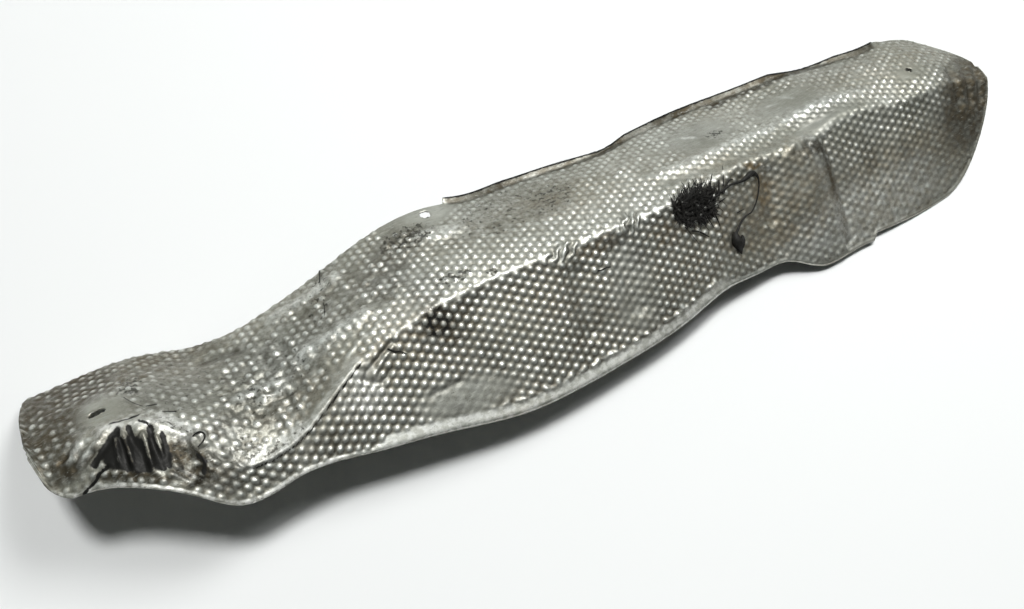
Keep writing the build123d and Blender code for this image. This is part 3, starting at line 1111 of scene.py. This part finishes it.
def newMaterial(name):
    material = bpy.data.materials.new(name)
    material.use_nodes = True
    material.node_tree.nodes.clear()
    return material, material.node_tree


def perMm(size):
    return mmPerMetre / size


# worn embossed aluminium: satin grey metal, bright on the dimples and folds from wear and painted highlights,
# dull and brownish in the hollows from dirt and painted shade. Noises have a size in mm, detail and
# roughness, and the scratches are drawn out along the shield.
# Workings are made one from another, from the noises and from the marks: a fade takes a value softly from one
# range (from, to) into another (least, most), and the others are sums. Coats lie on the metal in their order
aluminium = {
    # the bright colour paints highlights as well as worn metal, the hollow and soil colours paint shade as
    # well as dirt, and the tar colour paints shadow lines as well as tar
    "bright": "#e6e7e2",
    "metal": "#babab2",
    "dull": "#a3a399",
    "spotted": "#77756a",
    "shadedDirtyHollow": "#807c71",
    "soilAndPaintedShade": "#383630",
    "grime": "#968466",
    "tarAndPaintedShadow": "#12110e",
    "scratchStretch": (0.15, 1.0, 1.0),
    "noises": {
        "patch": {"size": 45.0, "detail": 4.0, "roughness": 0.6},
        "stain": {"size": 9.0, "detail": 6.0, "roughness": 0.6},
        "spot": {"size": 6.0, "detail": 4.0, "roughness": 0.6},
        "grain": {"size": 1.2, "detail": 2.0, "roughness": 0.6},
        "speck": {"size": 4.0, "detail": 5.0, "roughness": 0.6},
        "scratch": {"size": 1.5, "detail": 4.0, "roughness": 0.7},
    },
    "workings": {
        "patches": ("fade", "patch", 0.35, 0.65, 0.0, 1.0),
        "spotShare": ("fade", "spot", 0.45, 0.68, 0.0, 0.7),
        "spots": ("MULTIPLY", "spotShare", "mottle"),
        "hollowShare": ("fade", "stain", 0.3, 0.7, 0.6, 1.25),
        "shadedDirtyHollows": ("MULTIPLY", "valleyShadeAndDirt", "hollowShare"),
        "soilShare": ("fade", "stain", 0.3, 0.6, 0.55, 1.0),
        "soiledAndShaded": ("MULTIPLY", "soilAndPaintedShade", "soilShare"),
        "shineShare": ("fade", "spot", 0.6, 0.35, 0.35, 1.0),
        "shinyAndHighlit": ("MULTIPLY", "shineAndPaintedHighlight", "shineShare"),
        "tipShare": ("fade", "stain", 0.65, 0.35, 0.35, 0.9),
        "tips": ("MULTIPLY", "tip", "tipShare"),
        "polishedAndHighlit": ("MAXIMUM", "shinyAndHighlit", "tips"),
        "scuffShare": ("fade", "spot", 0.62, 0.4, 0.2, 1.0),
        "scuffed": ("MULTIPLY", "scuff", "scuffShare"),
        # bare metal here includes the painted highlights
        "bare": ("MAXIMUM", "polishedAndHighlit", "scuffed"),
        "filmShare": ("fade", "stain", 0.3, 0.65, 0.15, 0.8),
        "film": ("MULTIPLY", "grime", "filmShare"),
        "unfilmed": ("MULTIPLY_ADD", "film", -0.7, 1.0),
        "wearAndPaintedLight": ("MULTIPLY", "bare", "unfilmed"),
        "pitShare": ("fade", "grain", 0.52, 0.72, 0.0, 0.35),
        "pits": ("MULTIPLY", "pitShare", "mottle"),
        "darkScratch": ("fade", "scratch", 0.45, 0.25, 0.0, 0.45),
        "brightScratch": ("fade", "scratch", 0.55, 0.75, 0.0, 0.4),
        "ragged": ("MULTIPLY_ADD", "spot", 0.9, -0.45),
        "raggedTarAndShadow": ("ADD", "tarAndPaintedShadow", "ragged"),
        "blot": ("fade", "raggedTarAndShadow", 0.3, 0.6, 0.0, 1.0),
        "flecked": ("MULTIPLY_ADD", "fleck", 0.17, "speck"),
        "fleckEdge": ("fade", "flecked", 0.64, 0.72, 0.0, 1.0),
        "fleckShare": ("fade", "fleck", 0.02, 0.3, 0.0, 0.8),
        "dots": ("MULTIPLY", "fleckEdge", "fleckShare"),
        "satin": ("fade", "grain", 0.25, 0.75, 0.42, 0.56),
        "rubbedSatin": ("MULTIPLY_ADD", "wearAndPaintedLight", -0.1, "satin"),
        "rough": ("MULTIPLY_ADD", "film", 0.15, "rubbedSatin"),
        "metalUnderTarAndShadow": ("MULTIPLY_ADD", "blot", -0.4, 1.0),
        "metallic": ("MULTIPLY_ADD", "scuffed", -0.55, "metalUnderTarAndShadow"),
        "crinkle": ("MULTIPLY", "spot", "mottle"),
        "height": ("MULTIPLY_ADD", "grain", 0.15, "crinkle"),
    },
    "coats": (
        ("patches", "dull"),
        ("spots", "spotted"),
        ("shadedDirtyHollows", "shadedDirtyHollow"),
        ("soiledAndShaded", "soilAndPaintedShade"),
        ("wearAndPaintedLight", "bright"),
        ("film", "grime"),
        ("pits", "soilAndPaintedShade"),
        ("darkScratch", "soilAndPaintedShade"),
        ("brightScratch", "bright"),
        ("dots", "soilAndPaintedShade"),
        ("blot", "tarAndPaintedShadow"),
    ),
    "bumpStrength": 1.0,
    "bumpHeight": 0.5,
}


def wornAluminium():
    material, tree = newMaterial("wornEmbossedAluminium")
    where = addNode(tree, "ShaderNodeTexCoord").outputs["Object"]
    sockets = {"Vector": where, "Scale": aluminium["scratchStretch"]}
    stretched = addNode(tree, "ShaderNodeMapping", None, sockets).outputs[0]
    value = {}
    for name in marks:
        value[name] = addNode(tree, "ShaderNodeAttribute", {"attribute_name": name}).outputs["Fac"]
    for name, noise in aluminium["noises"].items():
        sockets = {
            "Vector": stretched if name == "scratch" else where,
            "Scale": perMm(noise["size"]),
            "Detail": noise["detail"],
            "Roughness": noise["roughness"],
        }
        value[name] = addNode(tree, "ShaderNodeTexNoise", None, sockets).outputs["Fac"]
    fadeSockets = ("Value", "From Min", "From Max", "To Min", "To Max")
    for name, (operation, *inputs) in aluminium["workings"].items():
        inputs = [value.get(item, item) for item in inputs]
        if operation == "fade":
            sockets = dict(zip(fadeSockets, inputs))
            node = addNode(tree, "ShaderNodeMapRange", {"interpolation_type": "SMOOTHSTEP"}, sockets)
        else:
            node = addNode(tree, "ShaderNodeMath", {"operation": operation}, dict(enumerate(inputs)))
        value[name] = node.outputs[0]
    colour = hexColour(aluminium["metal"])
    for share, coat in aluminium["coats"]:
        sockets = {0: value[share], 6: colour, 7: hexColour(aluminium[coat])}
        colour = addNode(tree, "ShaderNodeMix", {"data_type": "RGBA"}, sockets).outputs[2]
    sockets = {
        "Strength": aluminium["bumpStrength"],
        "Distance": aluminium["bumpHeight"] / mmPerMetre,
        "Height": value["height"],
    }
    bump = addNode(tree, "ShaderNodeBump", None, sockets).outputs[0]
    sockets = {
        "Base Color": colour,
        "Metallic": value["metallic"],
        "Roughness": value["rough"],
        "Normal": bump,
    }
    surface = addNode(tree, "ShaderNodeBsdfPrincipled", None, sockets).outputs[0]
    addNode(tree, "ShaderNodeOutputMaterial", None, {"Surface": surface})
    return material


shield.data.materials.append(wornAluminium())
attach(shield, "root")
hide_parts("heat_shield")
print("stage: aluminium finished")

# dried black sealant stuck on the shoulder: a clump of bristles, a strand with a lump at its end, and loose
# fibres. Each fibre runs through photograph pixels, with half its thickness in pixels. Lifts, dust and bump
# are in mm. Bristles high in the clump mostly point up, and low ones mostly down: each heading is a mean and
# a spread in degrees
sealant = {
    "colour": "#191816",
    "dust": "#4d4b45",
    "dustSize": 2.0,
    "dustDetail": 3.0,
    "dustRange": (0.5, 0.8),
    "dustMost": 0.35,
    "bumpStrength": 0.5,
    "bumpHeight": 0.3,
    "roughness": 0.6,
    "specular": 0.25,
    "curveOrder": 3,
    "curveSteps": 3,
    "roundSteps": 1,
    "bristles": 330,
    "seed": 4,
    "clumpMiddle": (695, 207),
    "clumpHalf": (24, 18),
    "clumpTurn": -20,
    "lowRange": (-8, 14),
    "upHeading": (-78, 32),
    "downHeading": (75, 60),
    "bristleLength": (6, 13),
    "lowShorter": 0.3,
    "curl": 0.45,
    "bristleHalf": (0.35, 0.8),
    "tipHalf": 0.15,
    "rootLift": 0.3,
    "bristleLift": (0.8, 3.5),
    "tipLift": (-0.5, 1.5),
    "lift": 1.6,
    "fibres": {
        "strand": [
            (712, 199, 1.2), (722, 190, 1.2), (730, 184, 1.1), (741, 181.5, 1.6), (746, 177, 2.8),
            (750, 173, 3.2), (754, 173.5, 2.0), (757.5, 178, 0.9), (758, 186, 0.7),
            (757, 195, 0.65), (754, 206, 0.7), (750, 213, 0.8), (746, 214.5, 0.8), (742, 219, 1.0),
            (738, 226, 1.1), (735, 234, 1.6),
        ],
        "lump": [(734, 232, 1.8), (734, 237, 5.0), (736.5, 243, 6.2), (739.5, 249, 3.4), (740.5, 254, 0.6)],
        "lumpSide": [(741, 235, 1.0), (742, 239, 2.8), (741.5, 245, 3.0), (740, 250, 1.2)],
        "spikeOne": [(706, 195, 1.0), (709, 186, 0.8), (712, 175, 0.4)],
        "spikeTwo": [(722, 186, 0.7), (723, 176, 0.5), (722, 167, 0.3)],
        "spikeThree": [(722, 194, 1.0), (726, 184, 0.8), (729, 178, 0.7), (732, 180, 0.4)],
        "spikeFour": [(717, 196, 1.6), (718, 188, 1.2), (718, 180, 0.5)],
        "spikeLeft": [(671, 199, 0.7), (674, 207, 1.4), (679, 219, 1.2)],
        "spikeRight": [(711, 208, 1.0), (715, 216, 0.9), (719, 226, 0.4)],
        "spikeLow": [(705, 214, 0.8), (709, 222, 0.7), (713, 228, 0.4)],
        "hairLow": [(684, 227, 0.5), (691, 235, 0.45), (698, 244, 0.3)],
        "leafLow": [(691, 231, 0.9), (697, 231, 0.6), (703, 234, 1.0), (708, 237, 0.5)],
        "hairRight": [(736, 213, 0.5), (739, 211, 0.5), (743, 209, 0.4)],
        "hairSkirt": [(597, 271, 0.8), (602, 270, 0.7), (605, 267.5, 0.7), (610, 267, 0.5)],
        "hairPocket": [(387, 349, 1.0), (394, 352, 1.1), (400, 351, 0.9), (406, 354, 0.4)],
        "hairCurl": [
            (192, 437, 0.7), (196, 433, 0.9), (202, 433, 0.9), (205, 437, 0.8), (202, 443, 0.7),
            (197, 448, 0.5),
        ],
        "hairCrest": [(139, 422, 0.5), (145, 423, 0.7), (150, 428, 0.4)],
        "hairDome": [(124, 399, 0.35), (132, 405, 0.35), (143, 408, 0.3)],
        "hairDomeEnd": [(146, 408, 0.4), (151, 407, 0.8), (157, 406, 0.4)],
        "hairDomeSide": [(162, 413, 0.4), (168, 413.5, 0.5), (176, 413, 0.7)],
        "hairBack": [(320, 272, 0.5), (321, 277, 0.6), (320, 284, 0.4)],
        "hairSaddle": [(324, 304, 0.4), (326, 310, 0.6), (325, 317, 0.3)],
    },
}


# a point over the sheet at a photograph pixel, and the size of a pixel there in mm
def overSheet(pixel, lift):
    spot, normal = onSheet(pixel)
    facing = normal if normal @ (eye - spot) > 0 else -normal
    return spot + facing * lift, (spot - eye) @ viewAhead / shot["focalPixels"]


def addFibre(curve, points, lifts):
    spline = curve.splines.new("NURBS")
    spline.points.add(len(points) - 1)
    for knot, (x, y, half), lift in zip(spline.points, points, lifts):
        spot, pixelSize = overSheet((x, y), lift)
        knot.co = (*place(spot[None])[0], 1.0)
        knot.radius = half * pixelSize
    spline.order_u = sealant["curveOrder"]
    spline.use_endpoint_u = True


strands = bpy.data.curves.new("driedSealant", "CURVE")
strands.dimensions = "3D"
strands.bevel_depth = 1 / mmPerMetre
strands.bevel_resolution = sealant["roundSteps"]
strands.resolution_u = sealant["curveSteps"]
strands.use_fill_caps = True
for points in sealant["fibres"].values():
    addFibre(strands, points, [sealant["lift"]] * len(points))
dice = np.random.default_rng(sealant["seed"])
turnClump = math.radians(sealant["clumpTurn"])
for bristle in range(sealant["bristles"]):
    reach = math.sqrt(dice.uniform(0, 1))
    around = dice.uniform(0, 2 * math.pi)
    wide = sealant["clumpHalf"][0] * reach * math.cos(around)
    tall = sealant["clumpHalf"][1] * reach * math.sin(around)
    x = sealant["clumpMiddle"][0] + wide * math.cos(turnClump) - tall * math.sin(turnClump)
    y = sealant["clumpMiddle"][1] + wide * math.sin(turnClump) + tall * math.cos(turnClump)
    low = smoothStep(*sealant["lowRange"], tall)
    headings = sealant["upHeading"] if dice.uniform() > low else sealant["downHeading"]
    heading = math.radians(dice.normal(*headings))
    length = dice.uniform(*sealant["bristleLength"]) * (1.0 - sealant["lowShorter"] * low)
    tipHeading = heading + dice.normal(0, sealant["curl"])
    half = dice.uniform(*sealant["bristleHalf"])
    middle = (x + length * 0.5 * math.cos(heading), y + length * 0.5 * math.sin(heading), half)
    end = (x + length * math.cos(tipHeading), y + length * math.sin(tipHeading), sealant["tipHalf"])
    lift = dice.uniform(*sealant["bristleLift"])
    lifts = [sealant["rootLift"], lift, lift + dice.uniform(*sealant["tipLift"])]
    addFibre(strands, [(x, y, half), middle, end], lifts)
residue = bpy.data.objects.new("driedSealant", strands)
bpy.context.scene.collection.objects.link(residue)
bpy.ops.object.select_all(action="DESELECT")
residue.select_set(True)
bpy.context.view_layer.objects.active = residue
bpy.ops.object.convert(target="MESH")
residue = bpy.context.object
bpy.ops.object.shade_smooth()


# dried sealant: black and rubbery, with patches of dust
def driedSealant():
    material, tree = newMaterial("driedSealant")
    where = addNode(tree, "ShaderNodeTexCoord").outputs["Object"]
    sockets = {"Vector": where, "Scale": perMm(sealant["dustSize"]), "Detail": sealant["dustDetail"]}
    dust = addNode(tree, "ShaderNodeTexNoise", None, sockets).outputs["Fac"]
    dustFrom, dustTo = sealant["dustRange"]
    sockets = {"Value": dust, "From Min": dustFrom, "From Max": dustTo, "To Max": sealant["dustMost"]}
    share = addNode(tree, "ShaderNodeMapRange", None, sockets).outputs[0]
    sockets = {0: share, 6: hexColour(sealant["colour"]), 7: hexColour(sealant["dust"])}
    colour = addNode(tree, "ShaderNodeMix", {"data_type": "RGBA"}, sockets).outputs[2]
    sockets = {
        "Strength": sealant["bumpStrength"],
        "Distance": sealant["bumpHeight"] / mmPerMetre,
        "Height": dust,
    }
    bump = addNode(tree, "ShaderNodeBump", None, sockets).outputs[0]
    sockets = {
        "Base Color": colour,
        "Roughness": sealant["roughness"],
        "Specular IOR Level": sealant["specular"],
        "Normal": bump,
    }
    surface = addNode(tree, "ShaderNodeBsdfPrincipled", None, sockets).outputs[0]
    addNode(tree, "ShaderNodeOutputMaterial", None, {"Surface": surface})
    return material


residue.data.materials.clear()
residue.data.materials.append(driedSealant())
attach(residue, "root")
print("stage: sealant stuck on,", len(residue.data.polygons), "faces")

# pale floor, soft studio light and the photograph's camera. The room is brightest towards one direction, and
# a lamp either shows in reflections or lights the surfaces
studio = {
    "floorSize": 8.0,
    "floor": "#f1f3f2",
    "floorRoughness": 0.7,
    "room": "#e9efec",
    "roomTowards": (0.1, 0.55, 0.83),
    "roomRange": (-0.05, 0.75),
    "roomFront": 0.04,
    "roomBack": 0.74,
    "roomFill": 0.08,
    "backdropColour": "#ffffff",
    "backdrop": 0.93,
    "lamps": {
        "keySoftbox": {
            "kind": "AREA", "at": (0.45, 0.6, 1.68), "size": 0.8, "power": 28.0, "mirrored": True,
        },
        "floorLight": {
            "kind": "SUN", "at": (-0.15, 0.56, 1.9), "size": 0.2, "power": 2.05, "mirrored": False,
        },
        "sideLight": {
            "kind": "AREA", "at": (0.9, 0.55, 2.0), "size": 0.9, "power": 26.0, "mirrored": False,
        },
    },
}
bpy.ops.object.select_all(action="DESELECT")
bpy.ops.mesh.primitive_plane_add(size=studio["floorSize"], location=(0, 0, 0))
floor = bpy.context.object
floor.name = "paleFloor"
floorMaterial, floorTree = newMaterial("paleFloor")
sockets = {"Base Color": hexColour(studio["floor"]), "Roughness": studio["floorRoughness"]}
floorSurface = addNode(floorTree, "ShaderNodeBsdfPrincipled", None, sockets).outputs[0]
addNode(floorTree, "ShaderNodeOutputMaterial", None, {"Surface": floorSurface})
floor.data.materials.append(floorMaterial)

# the room is brighter overhead and behind than in front, and the camera sees a plain backdrop
world = bpy.data.worlds.new("softRoom")
bpy.context.scene.world = world
world.use_nodes = True
worldTree = world.node_tree
direction = addNode(worldTree, "ShaderNodeTexCoord").outputs["Generated"]
ray = addNode(worldTree, "ShaderNodeLightPath").outputs
sockets = {0: ray["Is Diffuse Ray"], 2: studio["roomBack"], 3: studio["roomFill"]}
most = addNode(worldTree, "ShaderNodeMix", None, sockets).outputs[0]
sockets = {0: direction, 1: studio["roomTowards"]}
lean = addNode(worldTree, "ShaderNodeVectorMath", {"operation": "DOT_PRODUCT"}, sockets).outputs["Value"]
sockets = {
    "Value": lean,
    "From Min": studio["roomRange"][0],
    "From Max": studio["roomRange"][1],
    "To Min": studio["roomFront"],
    "To Max": most,
}
glow = addNode(worldTree, "ShaderNodeMapRange", {"interpolation_type": "SMOOTHSTEP"}, sockets).outputs[0]
sockets = {0: ray["Is Camera Ray"], 2: glow, 3: studio["backdrop"]}
strength = addNode(worldTree, "ShaderNodeMix", None, sockets).outputs[0]
sockets = {0: ray["Is Camera Ray"], 6: hexColour(studio["room"]), 7: hexColour(studio["backdropColour"])}
colour = addNode(worldTree, "ShaderNodeMix", {"data_type": "RGBA"}, sockets).outputs[2]
worldTree.links.new(strength, worldTree.nodes["Background"].inputs["Strength"])
worldTree.links.new(colour, worldTree.nodes["Background"].inputs["Color"])

for name, light in studio["lamps"].items():
    bpy.ops.object.light_add(type=light["kind"], location=light["at"])
    lamp = bpy.context.object
    lamp.name = name
    lamp.data.energy = light["power"]
    if light["kind"] == "SUN":
        lamp.data.angle = light["size"]
    else:
        lamp.data.size = light["size"]
    lamp.visible_glossy = light["mirrored"]
    lamp.visible_diffuse = not light["mirrored"]
    lamp.rotation_euler = (Vector((0, 0, 0)) - lamp.location).to_track_quat("-Z", "Y").to_euler()

cameraData = bpy.data.cameras.new("photoCamera")
camera = bpy.data.objects.new("photoCamera", cameraData)
bpy.context.scene.collection.objects.link(camera)
cameraData.sensor_width = shot["sensorWidth"]
cameraData.lens = shot["focalPixels"] / shot["size"][0] * shot["sensorWidth"]
cameraData.clip_start, cameraData.clip_end = shot["clip"]
stand = Matrix.Identity(4)
for column, axis in enumerate((viewRight, viewUp, -viewAhead)):
    for row in range(3):
        stand[row][column] = axis[row]
spot = toFloor @ Vector(eye)
camera.matrix_world = Matrix.Translation(spot / mmPerMetre) @ turn @ stand
bpy.context.scene.camera = camera
bpy.context.scene.view_settings.view_transform = "Standard"
print("stage: studio ready")
